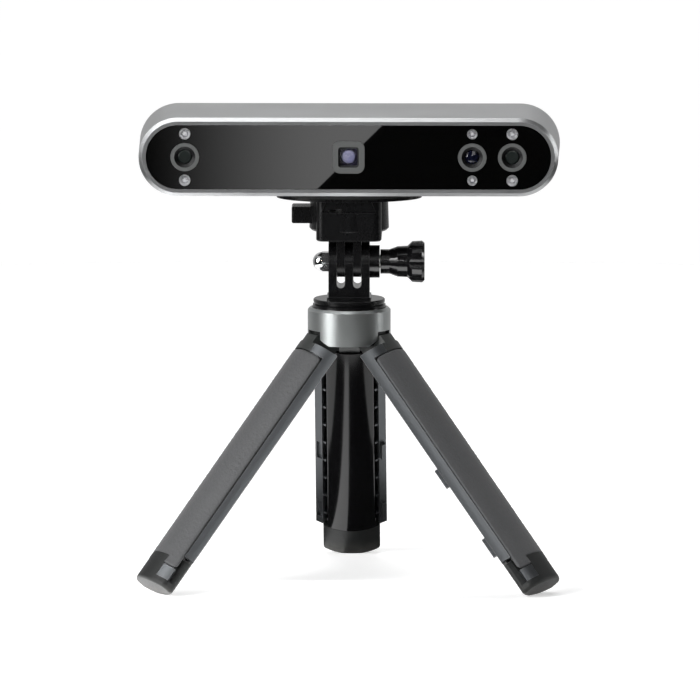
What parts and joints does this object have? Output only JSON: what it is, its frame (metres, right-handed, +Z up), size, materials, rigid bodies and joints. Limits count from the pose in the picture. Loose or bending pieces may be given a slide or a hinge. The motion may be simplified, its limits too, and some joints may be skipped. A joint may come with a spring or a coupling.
{
  "type": "handheld 3d scanner on folding mini tripod",
  "caption": "Bar-shaped structured-light 3-D scanner with a glass face of cameras and a projector, on a quick-release clamp, tilting prong hinge and folding mini tripod.",
  "frame": {"origin": "centre of the whole object's footprint, on the surface that the feet stand on", "axes": "+X to the scanner's right as it is faced, -Y the way the scanner looks, +Z up"},
  "size_m": [0.1554, 0.1374, 0.1742],
  "materials": {
    "bar_shell": "bead-blasted, clear anodised grey",
    "rear_black": "fine moulded texture",
    "black_screw": "black oxide",
    "front_glass": "polished black panel",
    "foam": "closed-cell foam",
    "ring_metal": "satin dark grey",
    "lens_glass": "coated glass",
    "window_glass": "coated glass",
    "module_black": "moulded black",
    "led_silver": "bright reflector",
    "led_clear": "clear epoxy",
    "frame_metal": "milled",
    "board_green": "solder mask",
    "steel_screw": "zinc plated",
    "chip_black": "moulded epoxy",
    "steel_plate": "stamped stainless steel",
    "button_grey": "satin grey key",
    "light_pipe": "clear light guide",
    "brass": "turned",
    "soft_black": "matt rubber",
    "clamp_black": "satin black glass-filled nylon",
    "key_black": "satin black",
    "spring_steel": "spring wire",
    "gloss_black": "semi-gloss black nylon",
    "bright_nut": "polished chrome",
    "collar_metal": "turned satin gunmetal",
    "hub_black": "moulded black",
    "disc_black": "gloss black",
    "stud_steel": "threaded steel",
    "leg_metal": "gunmetal lacquer",
    "core_black": "high-gloss black",
    "leg_pad": "fine stippled grip",
    "knuckle_dark": "satin dark grey",
    "foot_dark": "satin dark rubber"
  },
  "bodies": {
    "tripod_hub": {"collar": "collar_metal", "hub_core": "hub_black", "hinge_pins": "steel_screw", "head_disc": "disc_black", "head_stud": "stud_steel"},
    "rear_leg": {"leg_shell_rear": "leg_metal", "leg_core_rear": "core_black", "leg_pad_rear": "leg_pad", "leg_knuckle_rear": "knuckle_dark", "leg_foot_rear": "foot_dark"},
    "left_leg": {"leg_shell_left": "leg_metal", "leg_core_left": "core_black", "leg_pad_left": "leg_pad", "leg_knuckle_left": "knuckle_dark", "leg_foot_left": "foot_dark"},
    "right_leg": {"leg_shell_right": "leg_metal", "leg_core_right": "core_black", "leg_pad_right": "leg_pad", "leg_knuckle_right": "knuckle_dark", "leg_foot_right": "foot_dark"},
    "mount": {"prong_mount": "gloss_black", "cap_nut": "bright_nut"},
    "thumb_screw": {"thumb_knob": "gloss_black", "hinge_bolt": "steel_screw"},
    "clamp": {"clamp_body": "clamp_black", "button_spring": "spring_steel"},
    "release_key": {"release_button": "key_black"},
    "scanner": {"board_screws": "steel_screw", "button_switch": "chip_black", "camera_lenses": "lens_glass", "camera_rings": "ring_metal", "colour_camera": "module_black", "cover_screws": "black_screw", "front_panel": "front_glass", "heat_sink": "frame_metal", "housing": "bar_shell", "ir_camera_left": "module_black", "ir_camera_right": "module_black", "led_cups": "led_silver", "led_domes": "led_clear", "main_board": "board_green", "panel_gasket": "foam", "plate_pad": "soft_black", "plate_screw": "steel_screw", "processor": "chip_black", "projector_bezel": "ring_metal", "projector_lens": "lens_glass", "projector_module": "module_black", "projector_window": "window_glass", "rear_cover": "rear_black", "release_plate": "clamp_black", "sensor_frame": "frame_metal", "status_light": "light_pipe", "tripod_insert": "brass", "usb_socket": "steel_plate"},
    "scan_key": {"scan_button": "button_grey"}
  },
  "joints": [
    {"name": "rear_leg_fold", "type": "hinge", "parent": "tripod_hub", "child": "rear_leg", "pos_m": [0, -0.00914, 0.0911], "axis": [-1, 0, 0], "range_deg": [0, 39.8]},
    {"name": "left_leg_fold", "type": "hinge", "parent": "tripod_hub", "child": "left_leg", "pos_m": [-0.00779, -0.02264, 0.0911], "axis": [0.5, -0.866, 0], "range_deg": [0, 39.8]},
    {"name": "right_leg_fold", "type": "hinge", "parent": "tripod_hub", "child": "right_leg", "pos_m": [0.00779, -0.02264, 0.0911], "axis": [0.5, 0.866, 0], "range_deg": [0, 39.8]},
    {"name": "mount_pan", "type": "hinge", "parent": "tripod_hub", "child": "mount", "pos_m": [0, -0.01814, 0.106], "axis": [0, 0, 1], "continuous": true},
    {"name": "clamp_tilt", "type": "hinge", "parent": "mount", "child": "clamp", "pos_m": [0, -0.01814, 0.11825], "axis": [1, 0, 0], "range_deg": [-75, 75]},
    {"name": "knob_turn", "type": "hinge", "parent": "mount", "child": "thumb_screw", "pos_m": [0.02, -0.01814, 0.11825], "axis": [1, 0, 0], "continuous": true},
    {"name": "release_press", "type": "slide", "parent": "clamp", "child": "release_key", "axis": [1, 0, 0], "range_m": [0, 0.002], "stiffness_N_per_m": 800, "springref_m": -0.0015},
    {"name": "plate_slide", "type": "slide", "parent": "clamp", "child": "scanner", "axis": [0, -1, 0], "range_m": [0, 0.028]},
    {"name": "scan_press", "type": "slide", "parent": "scanner", "child": "scan_key", "axis": [0, -1, 0], "range_m": [0, 0.0006], "stiffness_N_per_m": 1500, "springref_m": -0.0003}
  ]
}
